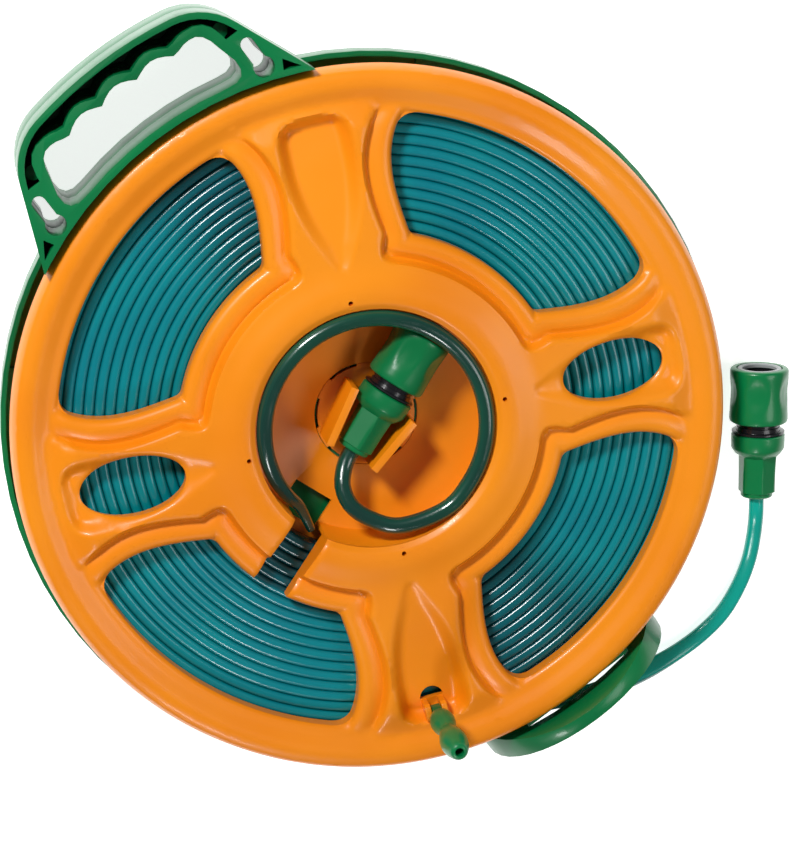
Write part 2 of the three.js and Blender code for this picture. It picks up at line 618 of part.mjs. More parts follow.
// ---- hose ------------------------------------------------------------------------------------------------
function hoseTube(points, diameter, steps, around) {
  const path = new THREE.CatmullRomCurve3(points.map(([x, y, z]) => new THREE.Vector3(x, y, z)));
  const section = new THREE.Shape(disk(diameter / 2, around));
  return solidOf(new THREE.ExtrudeGeometry(section, { steps, extrudePath: path, bevelEnabled: false }));
}

const behind = (end, distance) => [
  end.tip[0] - distance * Math.cos(radians(end.angle)),
  end.tip[1] - distance * Math.sin(radians(end.angle)),
  end.height,
];

// The inner end of the hose: through the slot, clockwise round the recess wall, then back to the hub.
const leadRadius = spool.recessRadius - hose.leadDiameter / 2 - slip;
const leadHeight = 47.8;
const leadPoint = (degrees, radius, height) => [...polar(radius, degrees).toArray(), height];
const leadPoints = [
  leadPoint(204.6, 68.2, 24),
  leadPoint(199.5, 64.2, 26),
  leadPoint(193, 60.8, 29.5),
  leadPoint(183, leadRadius, 35.5),
  leadPoint(170, leadRadius, 41),
  leadPoint(155, leadRadius, 45.5),
];
for (let degrees = 140; degrees >= -85; degrees -= 15) leadPoints.push(leadPoint(degrees, leadRadius, leadHeight));
leadPoints.push(
  [-22.5, -52, 46],
  [-32, -41, 43],
  [-36.5, -29, 39.5],
  [-34, -18.5, 35.5],
  [-28, -12.2, 31.8],
  behind(lead, 4),
  behind(lead, gap),
);

// The outer end: off the winding, out through the foot, then along the surface to its coupling.
const tailPoints = [
  [-88.6, -160.4, 24],
  [-60, -175.2, 24],
  [-30, -190.6, 23.8],
  [2.9, -206.6, 22.6],
  [20, -214.4, 18.6],
  [38, -221.4, 12.4],
  [56, -226, 7.2],
  [74, -227.4, 5],
  [92, -224.8, 5],
  [108, -217.8, 5.6],
  [122, -207.4, 8.4],
  [132.5, -195.4, 12.6],
  behind(tail, 10),
  behind(tail, 4),
  behind(tail, gap),
];

// ---- hose couplings: nut, core, sliding collar, socket ring, spring and seal ---------------------------
const roundness = 16; // sides of a coupling's turned pieces

function nutProfile() {
  const { nutLength, nutRadius, shankRadius, bore } = coupling;
  const chamber = nutRadius - 2.4;
  const wide = shankRadius - 1.9;
  return [
    [bore, 0], [6.6, 0], [6.6, 4.5], [shankRadius - 0.6, 4.5], [shankRadius, nutLength - 12.6],
    [nutRadius, nutLength - 6.1], [nutRadius, nutLength], [chamber, nutLength], [chamber, nutLength - 5.6],
    [wide, nutLength - 11.6], [wide, 6], [bore, 6],
  ];
}

function coreProfile() {
  const { nutLength, nutRadius, shankRadius, collarStart, collarBore, coreRadius, socket, length } = coupling;
  const bore = 3.4;
  const stem = shankRadius - 2.3;
  const shoulder = stem + 1.4;
  const flangeLow = nutLength + gap;
  const flangeHigh = flangeLow + 1.6;
  const stopTop = collarStart + gap;
  const seat = collarStart + 3.2;
  return [
    [bore, 8], [stem, 8], [stem, nutLength - 8.6], [shoulder, nutLength - 3.6], [shoulder, flangeLow],
    [nutRadius, flangeLow], [nutRadius, flangeHigh], [collarBore - 0.5, flangeHigh], [collarBore - 0.5, stopTop],
    [coreRadius, stopTop], [coreRadius, length - skin], [socket, length - skin], [socket, seat], [bore, seat],
  ];
}

function collarProfile() {
  const { collarStart, collarRadius, collarBore, coreRadius, waist, length } = coupling;
  const step = coreRadius + slip;
  return [
    [collarBore, collarStart], [collarRadius - 0.6, collarStart], [collarRadius, collarStart + 1.2],
    [waist, (collarStart + length) / 2 - 0.65], [collarRadius, length - 1.6], [collarRadius - 0.8, length],
    [collarBore, length], [collarBore, length - 12.5], [step, length - 12.5], [step, length - 15],
    [collarBore, length - 15],
  ];
}

// The coil spring between the core and the collar, at its compressed length.
function springSolid() {
  const coils = 3;
  const steps = 13;
  const wire = 0.45;
  const mean = (coupling.coreRadius + coupling.collarBore) / 2 + 0.15;
  const low = coupling.collarStart + 1.7;
  const points = Array.from({ length: coils * steps + 1 }, (_, i) => {
    const turn = (2 * Math.PI * i) / steps;
    return new THREE.Vector3(mean * Math.cos(turn), mean * Math.sin(turn), low + (9 * i) / (coils * steps));
  });
  const settings = { steps: coils * steps, extrudePath: new THREE.CatmullRomCurve3(points), bevelEnabled: false };
  return solidOf(new THREE.ExtrudeGeometry(new THREE.Shape(disk(wire, 5)), settings));
}

function sealProfile() {
  const section = 1.3;
  const middle = [coupling.socket - 1.8, coupling.collarStart + 5.1];
  return Array.from({ length: 6 }, (_, i) => [
    middle[0] + section * Math.cos((Math.PI * i) / 3),
    middle[1] + section * Math.sin((Math.PI * i) / 3),
  ]);
}

function couplingGroup(prefix, place) {
  const group = new THREE.Group();
  const { length, socket, collarBore } = coupling;
  const socketRing = ring(socket + 0.7, collarBore - slip, length - skin + slip, length, roundness);
  group.add(
    meshOf(`${prefix}_nut`, turned(nutProfile(), roundness), green()),
    meshOf(`${prefix}_core`, turned(coreProfile(), roundness), black()),
    meshOf(`${prefix}_collar`, turned(collarProfile(), roundness), green()),
    meshOf(`${prefix}_socket_ring`, socketRing, grey()),
    meshOf(`${prefix}_spring`, springSolid(), steel()),
    meshOf(`${prefix}_seal`, turned(sealProfile(), 18), black()),
  );
  group.rotation.set(0, Math.PI / 2, 0);
  const turn = new THREE.Group();
  turn.add(group);
  turn.rotation.z = radians(place.angle);
  turn.position.set(place.tip[0], place.tip[1], place.height);
  return turn;
}

// ---- assembly --------------------------------------------------------------------------------------------
const cassette = new THREE.Group();
cassette.add(
  meshOf("rear_frame", rearFrame(), green()),
  meshOf("handle_front", handleFront(), green()),
  meshOf("foot", footBlock(), green()),
);
sides.forEach((side) => {
  const hand = side < 0 ? "left" : "right";
  const sunk = 0.7;
  const long = handleSplit + post.depth - 4;
  cassette.add(
    meshOf(`handle_screw_${hand}`, screwSolid(sunk, long, side * handleScrewAt.x, handleScrewAt.y), steel()),
  );
  const holder = new THREE.Group();
  holder.add(meshOf(`foot_screw_${hand}`, screwSolid(0, 13, 0, 0), steel()));
  holder.rotation.x = -Math.PI / 2;
  holder.position.set(side * footScrew.x, -foot.bottom + sunk, footScrew.z);
  cassette.add(holder);
});

const reel = new THREE.Group();
reel.add(
  meshOf("drum", drum(), orange()),
  meshOf("front_disc", frontDisc(), orange()),
  meshOf("hub_clip", hubClip(), orange()),
  meshOf("hose_winding", ring(hose.packInner, hose.packOuter, hose.low, hose.top, 60), teal()),
  meshOf("hose_lead", hoseTube(leadPoints, hose.leadDiameter, 44, 8), teal()),
  meshOf("crank_strut", crankStrut(), green()),
  meshOf("crank_grip", crankGrip(), green()),
);
const discScrewLength = spool.splitHeight - 15;
quarters.forEach((turn, index) => {
  const at = polar(boss.circle, spokeAngle + turn);
  const solid = screwSolid(spool.floorLow, discScrewLength, at.x, at.y, discScrewScale);
  reel.add(meshOf(`disc_screw_${index + 1}`, solid, steel()));
});
cassette.add(
  reel,
  couplingGroup("lead", lead),
  couplingGroup("tail", tail),
  meshOf("hose_tail", hoseTube(tailPoints, hose.tailDiameter, 34, 8), teal()),
);

export default cassette;
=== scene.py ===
import json
import math

import bmesh
import bpy
import numpy as np
from mathutils import Matrix, Vector
from mathutils.geometry import delaunay_2d_cdt


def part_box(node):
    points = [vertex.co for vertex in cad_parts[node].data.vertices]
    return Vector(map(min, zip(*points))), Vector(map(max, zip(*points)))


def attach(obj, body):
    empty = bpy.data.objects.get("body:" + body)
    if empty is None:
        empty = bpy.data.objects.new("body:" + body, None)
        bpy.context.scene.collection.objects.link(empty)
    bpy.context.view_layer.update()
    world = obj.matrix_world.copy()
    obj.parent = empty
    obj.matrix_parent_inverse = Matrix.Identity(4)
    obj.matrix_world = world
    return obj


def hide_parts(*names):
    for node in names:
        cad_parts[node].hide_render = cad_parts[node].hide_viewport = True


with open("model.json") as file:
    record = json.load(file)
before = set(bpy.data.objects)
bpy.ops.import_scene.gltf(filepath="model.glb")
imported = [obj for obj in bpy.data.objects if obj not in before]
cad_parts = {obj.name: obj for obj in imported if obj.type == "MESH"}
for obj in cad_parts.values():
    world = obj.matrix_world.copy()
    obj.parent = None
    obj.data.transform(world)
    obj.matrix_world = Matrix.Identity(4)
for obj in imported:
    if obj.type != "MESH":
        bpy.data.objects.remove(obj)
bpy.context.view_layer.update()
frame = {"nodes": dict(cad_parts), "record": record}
MM = 0.001


# ---- Studio -----------------------------------------------------------------------------------
# A pale floor under the cassette, which lies on its back, a large soft light from the upper left
# of the view, a weaker one opposite, and a camera almost straight above, turned a little.
TILT = math.radians(16.33)
ROLL = math.radians(36.4)
TURN = math.radians(-0.88)
AIM = Vector((0.0, 0.0, 0.042))
DISTANCE = 1.56
LENS = 123.95
FRAMING = (0.01367, 0.0028)  # how far the camera stands right of and above the line to AIM


def turned_about_z(vector, angle):
    c, s = math.cos(angle), math.sin(angle)
    return Vector((vector.x * c - vector.y * s, vector.x * s + vector.y * c, vector.z))


across = Vector((1, 0, 0))
upward = Vector((0, math.cos(TILT), -math.sin(TILT)))
view_back = turned_about_z(Vector((0, math.sin(TILT), math.cos(TILT))), TURN)
view_right = turned_about_z(across * math.cos(ROLL) - upward * math.sin(ROLL), TURN)
view_up = turned_about_z(across * math.sin(ROLL) + upward * math.cos(ROLL), TURN)

camera_data = bpy.data.cameras.new("camera")
camera_data.lens = LENS
camera_data.clip_end = 20
camera = bpy.data.objects.new("camera", camera_data)
bpy.context.scene.collection.objects.link(camera)
camera.location = AIM + view_right * FRAMING[0] + view_up * FRAMING[1] + view_back * DISTANCE
camera.rotation_mode = "QUATERNION"
axes = [[view_right[i], view_up[i], view_back[i]] for i in range(3)]
camera.rotation_quaternion = Matrix(axes).to_quaternion()
bpy.context.scene.camera = camera


def area_light(name, place, size, power):
    data = bpy.data.lights.new(name, "AREA")
    data.shape = "DISK"
    data.size = size
    data.energy = power
    lamp = bpy.data.objects.new(name, data)
    lamp.location = place
    lamp.rotation_mode = "QUATERNION"
    lamp.rotation_quaternion = (place - AIM).to_track_quat("Z", "Y")
    bpy.context.scene.collection.objects.link(lamp)


area_light("key_light", AIM - view_right * 0.58 + view_up * 0.68 + view_back * 1.4, 0.3, 24)
area_light("fill_light", AIM + view_right * 1.1 - view_up * 0.3 + view_back * 1.0, 0.7, 5)
area_light("low_light", AIM - view_right * 0.1 - view_up * 1.3 + view_back * 0.7, 0.3, 5)

world = bpy.data.worlds.new("studio")
bpy.context.scene.world = world
world.use_nodes = True
world.node_tree.nodes["Background"].inputs["Color"].default_value = (1, 1, 1, 1)
world.node_tree.nodes["Background"].inputs["Strength"].default_value = 0.16
bpy.context.scene.view_settings.view_transform = "Standard"


def linked(name, mesh):
    piece = bpy.data.objects.new(name, mesh)
    bpy.context.scene.collection.objects.link(piece)
    return piece


def mesh_from(name, points, faces):
    mesh = bpy.data.meshes.new(name)
    mesh.from_pydata([tuple(p) for p in points], [], [tuple(int(i) for i in f) for f in faces])
    mesh.validate()
    mesh.update()
    return mesh


FLOOR_REACH, FLOOR_LEVEL = 2.5, -0.0003
corners = [(x * FLOOR_REACH, y * FLOOR_REACH, FLOOR_LEVEL) for x, y in ((-1, -1), (1, -1), (1, 1), (-1, 1))]
floor = linked("floor", mesh_from("floor", corners, [(0, 1, 2, 3)]))


# A Value wraps a socket, so that its sums and products add Math nodes; a Paint is one material's tree.
def linear(code):
    parts = [int(code[i : i + 2], 16) / 255 for i in (0, 2, 4)]
    return [p / 12.92 if p <= 0.04045 else ((p + 0.055) / 1.055) ** 2.4 for p in parts] + [1.0]


class Value:
    def __init__(self, paint, socket):
        self.paint = paint
        self.socket = socket

    def math(self, operation, first, second):
        return self.paint.node("ShaderNodeMath", {"operation": operation}, {0: first, 1: second})

    def __add__(self, other):
        return self.math("ADD", self, other)

    def __mul__(self, other):
        return self.math("MULTIPLY", self, other)

    __radd__ = __add__
    __rmul__ = __mul__


class Paint:
    def __init__(self, name):
        self.material = bpy.data.materials.new(name)
        self.material.use_nodes = True
        self.tree = self.material.node_tree
        self.shader = self.tree.nodes["Principled BSDF"]

    def node(self, kind, settings, sockets, output=0):
        made = self.tree.nodes.new(kind)
        for key, value in settings.items():
            setattr(made, key, value)
        for key, value in sockets.items():
            self.feed(made.inputs[key], value)
        return Value(self, made.outputs[output])

    def feed(self, socket, value):
        if isinstance(value, Value):
            self.tree.links.new(value.socket, socket)
        else:
            socket.default_value = value

    def place(self):
        return self.node("ShaderNodeTexCoord", {}, {}, "Object")

    def noise(self, scale, detail=2.0, stretch=None):
        where = self.place()
        if stretch is not None:
            where = self.node("ShaderNodeMapping", {}, {"Vector": where, "Scale": stretch})
        sockets = {"Vector": where, "Scale": scale, "Detail": detail}
        return self.node("ShaderNodeTexNoise", {}, sockets, "Fac")

    def ramp(self, value, low, high):
        span = {"Value": value, "From Min": low, "From Max": high}
        return self.node("ShaderNodeMapRange", {"interpolation_type": "SMOOTHSTEP"}, span)

    def mix(self, share, first, second):
        ends = {"Factor": share, "A": first, "B": second}
        return self.node("ShaderNodeMix", {"data_type": "RGBA"}, ends, "Result")

    def bump(self, height, distance, strength=1.0):
        return self.node("ShaderNodeBump", {}, {"Height": height, "Distance": distance, "Strength": strength})

    def finish(self, **sockets):
        for key, value in sockets.items():
            self.feed(self.shader.inputs[key.replace("_", " ")], value)
        return self.material


floor_paint = Paint("floor_paint")
floor.data.materials.append(
    floor_paint.finish(
        Base_Color=linear("f4f4f2"),
        Roughness=0.55 + floor_paint.noise(4) * 0.1,
        Emission_Color=linear("ffffff"),
        Emission_Strength=0.8,
    )
)


# ---- Wound hose -------------------------------------------------------------------------------
# Flat vinyl hose, wound on edge round the drum in one plane, so that each turn shows as a rib.
# A rounded flat section is swept along an Archimedean spiral. Its ends are not joined to the lead and tail.
ring_low, ring_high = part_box("hose_winding")
HOSE_WIDTH = ring_high.z - ring_low.z
OUTER_TURN = ring_high.x
PACK_INNER = 0.074
TURN_PITCH = 0.00605
TURN_WALL = 0.0057
START_ANGLE = math.radians(240)
SLOT_ANGLE, SLOT_WIDTH = 200.5, 21.0


def vinyl(name, light, plain, painted_shade_colour, coat):
    """Soft tinted vinyl: colour pools where the wall is thick, and drawing lines run along it. The depth
    attribute mixes in the dark colour as painted shade.
    """
    paint = Paint(name)
    along = paint.node("ShaderNodeAttribute", {"attribute_name": "round"}, {}, "Fac")
    pools = paint.ramp(paint.noise(14, 3), 0.3, 0.7)
    # Painted shade: the depth attribute pulls the colour towards the dark tone.
    depth = paint.node("ShaderNodeAttribute", {"attribute_name": "depth"}, {}, "Fac")
    colour = paint.mix(pools, linear(plain), linear(light))
    colour = paint.mix(depth, colour, linear(painted_shade_colour))
    lines = paint.node("ShaderNodeTexWave", {"wave_type": "BANDS"}, {"Vector": paint.node(
        "ShaderNodeCombineXYZ", {}, {0: along * 26.0}), "Scale": 1.0, "Distortion": 0.0}, "Fac")
    return paint.finish(
        Base_Color=colour,
        Roughness=0.2 + paint.noise(40, 3) * 0.05,
        Coat_Weight=coat,
        Coat_Roughness=0.07,
        Specular_IOR_Level=0.4,
        Normal=paint.bump(lines, 0.00003, 0.3),
    )


VINYL = vinyl("hose_vinyl", "01848a", "017582", "01252e", 0.15)
LEAD_VINYL = vinyl("lead_vinyl", "066a4c", "0a4a3e", "03231f", 0.8)
TAIL_VINYL = vinyl("tail_vinyl", "04a896", "049a8a", "015a56", 0.3)


def group_of(name, inputs):
    tree = bpy.data.node_groups.new(name, "GeometryNodeTree")
    tree.interface.new_socket("Geometry", in_out="OUTPUT", socket_type="NodeSocketGeometry")
    for label, kind in inputs:
        tree.interface.new_socket(label, in_out="INPUT", socket_type=kind)
    return tree


def grown(name, tree, values):
    """Runs a node tree with named values on an empty mesh and keeps the result as a plain mesh."""
    holder = linked(name, bpy.data.meshes.new(name + "_seed"))
    modifier = holder.modifiers.new("grow", "NODES")
    modifier.node_group = tree
    for item in tree.interface.items_tree:
        if item.in_out == "INPUT" and item.name in values:
            modifier[item.identifier] = values[item.name]
    bpy.context.view_layer.update()
    evaluated = holder.evaluated_get(bpy.context.evaluated_depsgraph_get())
    mesh = bpy.data.meshes.new_from_object(evaluated)
    holder.modifiers.remove(modifier)
    holder.data = mesh
    mesh.name = name
    return holder


def winding_tree():
    tree = group_of("winding", [("Turns", "NodeSocketFloat"), ("Inner", "NodeSocketFloat"),
                                ("Outer", "NodeSocketFloat"), ("Wall", "NodeSocketFloat"),
                                ("Width", "NodeSocketFloat"), ("Fold", "NodeSocketFloat"),
                                ("Steps", "NodeSocketInt"), ("Finish", "NodeSocketMaterial")])
    add, link = tree.nodes.new, tree.links.new
    given = add("NodeGroupInput").outputs
    spiral = add("GeometryNodeCurveSpiral")
    link(given["Turns"], spiral.inputs["Rotations"])
    link(given["Inner"], spiral.inputs["Start Radius"])
    link(given["Outer"], spiral.inputs["End Radius"])
    link(given["Steps"], spiral.inputs["Resolution"])
    spiral.inputs["Height"].default_value = 0
    upright = add("GeometryNodeSetCurveNormal")
    upright.mode = "Z_UP"
    link(spiral.outputs["Curve"], upright.inputs["Curve"])
    section = add("GeometryNodeCurvePrimitiveQuadrilateral")
    link(given["Wall"], section.inputs["Width"])
    link(given["Width"], section.inputs["Height"])
    rounded = add("GeometryNodeFilletCurve")
    rounded.mode = "POLY"
    rounded.inputs["Count"].default_value = 4
    link(given["Fold"], rounded.inputs["Radius"])
    link(section.outputs["Curve"], rounded.inputs["Curve"])
    sweep = add("GeometryNodeCurveToMesh")
    sweep.inputs["Fill Caps"].default_value = True
    link(upright.outputs["Curve"], sweep.inputs["Curve"])
    link(rounded.outputs["Curve"], sweep.inputs["Profile Curve"])
    solid = add("GeometryNodeRealizeInstances")
    link(sweep.outputs["Mesh"], solid.inputs["Geometry"])
    paint = add("GeometryNodeSetMaterial")
    link(solid.outputs["Geometry"], paint.inputs["Geometry"])
    link(given["Finish"], paint.inputs["Material"])
    link(paint.outputs["Geometry"], add("NodeGroupOutput").inputs["Geometry"])
    return tree


turns = (OUTER_TURN - PACK_INNER) / TURN_PITCH
inner_line = PACK_INNER + TURN_WALL / 2
outer_line = OUTER_TURN - TURN_WALL / 2
winding = grown("wound_hose", winding_tree(), {
    "Turns": turns, "Inner": inner_line, "Outer": outer_line, "Wall": TURN_WALL, "Width": HOSE_WIDTH,
    "Fold": 0.0023, "Steps": int(turns * 120), "Finish": VINYL})


def set_attribute(mesh, name, values):
    attribute = mesh.attributes.get(name) or mesh.attributes.new(name, "FLOAT", "POINT")
    attribute.data.foreach_set("value", np.asarray(values, np.float32))


def points_of(mesh):
    co = np.zeros(len(mesh.vertices) * 3)
    mesh.vertices.foreach_get("co", co)
    return co.reshape(-1, 3)


def smooth(mesh, angle=40):
    mesh.polygons.foreach_set("use_smooth", [True] * len(mesh.polygons))
    mesh.set_sharp_from_angle(angle=math.radians(angle))


co = points_of(winding.data)
middle_height = (ring_low.z + ring_high.z) / 2
c, s = math.cos(START_ANGLE), math.sin(START_ANGLE)
turned_co = np.c_[co[:, 0] * c - co[:, 1] * s, co[:, 0] * s + co[:, 1] * c, co[:, 2] + middle_height]
winding.data.vertices.foreach_set("co", turned_co.ravel())
smooth(winding.data, 60)
angle_of = np.degrees(np.arctan2(turned_co[:, 1], turned_co[:, 0]))
set_attribute(winding.data, "round", turned_co[:, 2] / 0.017)
# Painted shade on the wound hose, carried by the depth attribute: two dark bands round the reel at 84 and 268
# degrees, the turns in the slot, and the sides of each turn, darker within 4 mm below its top edge.
shade = np.zeros(len(turned_co))
for centre, half in ((84, 13), (268, 16)):
    off = np.abs((angle_of - centre + 180) % 360 - 180)
    shade = np.maximum(shade, np.clip((half + 6 - off) / 12, 0, 1))
in_slot = np.abs((angle_of - SLOT_ANGLE + 180) % 360 - 180) < 9
in_slot &= np.hypot(turned_co[:, 0], turned_co[:, 1]) < 0.106
shade = np.maximum(shade, in_slot * 1.1)
below = np.clip((ring_high.z - turned_co[:, 2]) / 0.004, 0, 1)
set_attribute(winding.data, "depth", np.clip(0.55 * shade + 0.8 * below, 0, 0.9))
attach(winding, "reel")
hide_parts("hose_winding")


# ---- Hose ends --------------------------------------------------------------------------------
# The same hose off the reel. The lead comes through the slot, runs clockwise round the recess and
# back to its coupling at the hub, pressed round; the tail leaves through the foot to its own.
LEAD_ANGLE, LEAD_TIP, LEAD_HEIGHT = math.radians(21.5), (-17.6, -6.65), 29.8
TAIL_ANGLE, TAIL_TIP, TAIL_HEIGHT = math.radians(54.1), (146.6, -175.6), 16.8


def ahead(angle, tip, height, distance):
    return (tip[0] - distance * math.cos(angle), tip[1] - distance * math.sin(angle), height)


def round_wall(degrees, radius, height):
    return (radius * math.cos(math.radians(degrees)), radius * math.sin(math.radians(degrees)), height)


lead_route = [round_wall(204.6, 68.2, 24), round_wall(199.5, 64.2, 26), round_wall(193, 60.8, 29.5),
              round_wall(183, 60.4, 35.5), round_wall(170, 60.4, 41), round_wall(155, 60.4, 45.5)]
lead_route += [round_wall(degrees, 60.4, 47.8) for degrees in range(140, -86, -15)]
lead_route += [(-22.5, -52, 46), (-32, -41, 43), (-36.5, -29, 39.5), (-34, -18.5, 35.5), (-28, -12.2, 31.8),
               ahead(LEAD_ANGLE, LEAD_TIP, LEAD_HEIGHT, 4), ahead(LEAD_ANGLE, LEAD_TIP, LEAD_HEIGHT, 0.3)]
tail_route = [(-88.6, -160.4, 24), (-60, -175.2, 24), (-30, -190.6, 23.8), (2.9, -206.6, 22.6),
              (20, -214.4, 18.6), (38, -221.4, 12.4), (56, -226, 7.2), (74, -227.4, 5), (92, -224.8, 5),
              (108, -217.8, 5.6), (122, -207.4, 8.4), (132.5, -195.4, 12.6),
              ahead(TAIL_ANGLE, TAIL_TIP, TAIL_HEIGHT, 10), ahead(TAIL_ANGLE, TAIL_TIP, TAIL_HEIGHT, 4),
              ahead(TAIL_ANGLE, TAIL_TIP, TAIL_HEIGHT, 0.3)]


def flowing(route, spacing):
    """A centripetal Catmull-Rom curve through the route's points, in metres, evenly spaced."""
    given = np.array(route) * MM
    given = np.vstack([2 * given[0] - given[1], given, 2 * given[-1] - given[-2]])
    dense = []
    for p0, p1, p2, p3 in zip(given, given[1:], given[2:], given[3:]):
        knots = np.cumsum([0] + [np.linalg.norm(b - a) ** 0.5 for a, b in ((p0, p1), (p1, p2), (p2, p3))])
        t = np.linspace(knots[1], knots[2], 24, endpoint=False)[:, None]
        a1 = (knots[1] - t) / (knots[1] - knots[0]) * p0 + (t - knots[0]) / (knots[1] - knots[0]) * p1
        a2 = (knots[2] - t) / (knots[2] - knots[1]) * p1 + (t - knots[1]) / (knots[2] - knots[1]) * p2
        a3 = (knots[3] - t) / (knots[3] - knots[2]) * p2 + (t - knots[2]) / (knots[3] - knots[2]) * p3
        b1 = (knots[2] - t) / (knots[2] - knots[0]) * a1 + (t - knots[0]) / (knots[2] - knots[0]) * a2
        b2 = (knots[3] - t) / (knots[3] - knots[1]) * a2 + (t - knots[1]) / (knots[3] - knots[1]) * a3
        dense.append((knots[2] - t) / (knots[2] - knots[1]) * b1 + (t - knots[1]) / (knots[2] - knots[1]) * b2)
    dense = np.vstack(dense + [given[-2:-1]])
    travelled = np.r_[0, np.cumsum(np.linalg.norm(np.diff(dense, axis=0), axis=1))]
    at = np.linspace(0, travelled[-1], int(travelled[-1] / spacing) + 1)
    return np.stack([np.interp(at, travelled, dense[:, i]) for i in range(3)], 1)


HOSE_SIDES = 24


def swept_hose(name, line, stations, finish):
    """A closed tube along a line. Each station is [share of the length, width, thickness, turn of the
    wide side from upright in degrees, squareness]; sizes in millimetres."""
    share = np.linspace(0, 1, len(line))
    table = np.array(stations, float)
    width, thick, turn, square = (np.interp(share, table[:, 0], table[:, i]) for i in (1, 2, 3, 4))
    ahead_of = np.gradient(line, axis=0)
    ahead_of /= np.linalg.norm(ahead_of, axis=1)[:, None]
    side = np.cross(ahead_of, (0, 0, 1.0))
    side /= np.linalg.norm(side, axis=1)[:, None]
    up = np.cross(side, ahead_of)
    around = np.linspace(0, 2 * np.pi, HOSE_SIDES, endpoint=False)
    rings = []
    for i, centre in enumerate(line):
        power = 2 / square[i]
        a = np.sign(np.cos(around)) * np.abs(np.cos(around)) ** power * width[i] / 2 * MM
        b = np.sign(np.sin(around)) * np.abs(np.sin(around)) ** power * thick[i] / 2 * MM
        t = math.radians(turn[i])
        wide = up[i] * math.cos(t) + side[i] * math.sin(t)
        thin = side[i] * math.cos(t) - up[i] * math.sin(t)
        rings.append(centre + a[:, None] * wide + b[:, None] * thin)
    count = len(line)
    faces = []
    for i in range(count - 1):
        for j in range(HOSE_SIDES):
            k = (j + 1) % HOSE_SIDES
            near, far = i * HOSE_SIDES, (i + 1) * HOSE_SIDES
            faces.append((near + j, near + k, far + k, far + j))
    faces.append(tuple(range(HOSE_SIDES))[::-1])
    faces.append(tuple((count - 1) * HOSE_SIDES + j for j in range(HOSE_SIDES)))
    mesh = mesh_from(name, np.vstack(rings), faces)
    set_attribute(mesh, "round", np.tile(around / (2 * np.pi), count))
    set_attribute(mesh, "depth", np.zeros(count * HOSE_SIDES))
    mesh.materials.append(finish)
    outward(mesh)
    smooth(mesh, 60)
    return linked(name, mesh)


def outward(mesh):
    work = bmesh.new()
    work.from_mesh(mesh)
    bmesh.ops.recalc_face_normals(work, faces=work.faces)
    work.to_mesh(mesh)
    work.free()
    mesh.update()


lead_line = flowing(lead_route, 0.0035)
lead_hose = swept_hose("hose_lead_end", lead_line,
                       [[0, 12, 5, 0, 2.6], [0.05, 10.4, 7, 0, 2.4], [0.12, 9.6, 8.8, 0, 2.1],
                        [0.9, 9.4, 9.0, 0, 2.1], [1, 9.2, 9.2, 0, 2]], LEAD_VINYL)
# Painted shade and sheen on the lead: the depth attribute darkens its top and bottom and leaves its flanks
# light, as its edges catch light when seen from above.
lead_round = (np.arange(len(lead_hose.data.vertices)) % HOSE_SIDES) / HOSE_SIDES
set_attribute(lead_hose.data, "depth", 0.25 + 0.5 * np.cos(2 * np.pi * lead_round) ** 2)
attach(lead_hose, "reel")
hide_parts("hose_lead")

tail_line = flowing(tail_route, 0.0035)
tail_hose = swept_hose("hose_tail_end", tail_line,
                       [[0, 15, 5, 0, 3.5], [0.3, 14, 5.5, 0, 3.5], [0.45, 11.5, 6.2, 25, 3.2],
                        [0.6, 9.4, 6.6, 70, 3], [0.85, 8.4, 6.6, 80, 2.8], [1, 8.4, 8.0, 80, 2.2]], TAIL_VINYL)
# Painted shade on the tail: the depth attribute darkens one long strip of its section, the face turned from the
# light, and leaves the side facing the light pale.
round_share = (np.arange(len(tail_hose.data.vertices)) % HOSE_SIDES) / HOSE_SIDES
set_attribute(tail_hose.data, "depth", np.where((round_share < 0.36) | (round_share > 0.93), 0.8, 0.0))
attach(tail_hose, "frame")
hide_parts("hose_tail")


# ---- Front disc -------------------------------------------------------------------------------
# One orange moulding: a raised four-armed star with a hub ring, lower rounded frames round four
# windows, a drop-shaped dish on each arm, and a rolled rim. Its skin is worked out as a height over
# the plane, and walls hang from the edges of its openings.
ARMS = (65.5, 155.5, 245.5, 335.5)
WINDOWS = (20.5, 110.5, 200.5, 290.5)
CRANK_ANGLE, CRANK_CIRCLE = 245.5, 165.0
WINDOW_INNER, WINDOW_OUTER, FRAME_BAND = 105.6, 170.4, 14.5
RECESS, RIM = 65.8, 195.0
OVAL_CENTRE, OVAL_LONG, OVAL_SHORT = 133.6, 28.7, 16.2
DISH_START, DISH_END, DISH_HALF = 88.0, 172.0, 21.5
SKIN = 2.2


def moulded(name, light, deep, roughness, coat):
    """Injection-moulded plastic: flow marks in the colour, a fine spark-eroded grain and a few dull patches."""
    paint = Paint(name)
    flow = paint.ramp(paint.noise(9, 3), 0.3, 0.72)
    colour = paint.mix(flow, linear(deep), linear(light))
    dull = paint.ramp(paint.noise(26, 4), 0.35, 0.75)
    fine = paint.noise(1500, 2)
    scuff = paint.ramp(paint.noise(60, 5, (1, 5, 1)), 0.62, 0.75)
    return paint.finish(
        Base_Color=colour,
        Roughness=roughness - 0.05 + dull * 0.09 + scuff * 0.06,
        Coat_Weight=coat,
        Coat_Roughness=0.1,
        Specular_IOR_Level=0.35,
        Normal=paint.bump(fine, 0.00003),
    )


ORANGE = moulded("orange_plastic", "f28f10", "e88106", 0.4, 0.1)


def polar(radius, degrees):
    angle = np.radians(degrees)
    return np.stack([radius * np.cos(angle), radius * np.sin(angle)], -1)


def eased(low, high, value):
    t = np.clip((value - low) / (high - low), 0, 1)
    return t * t * (3 - 2 * t)


def half_span(radius):
    """Half of a window's angle at a radius, in degrees: widest in the middle."""
    bulge = np.clip((radius - WINDOW_INNER) / (WINDOW_OUTER - WINDOW_INNER), 0, 1)
    return 22.65 * (1 - bulge) + 28.2 * bulge + 15.4 * bulge * (1 - bulge)


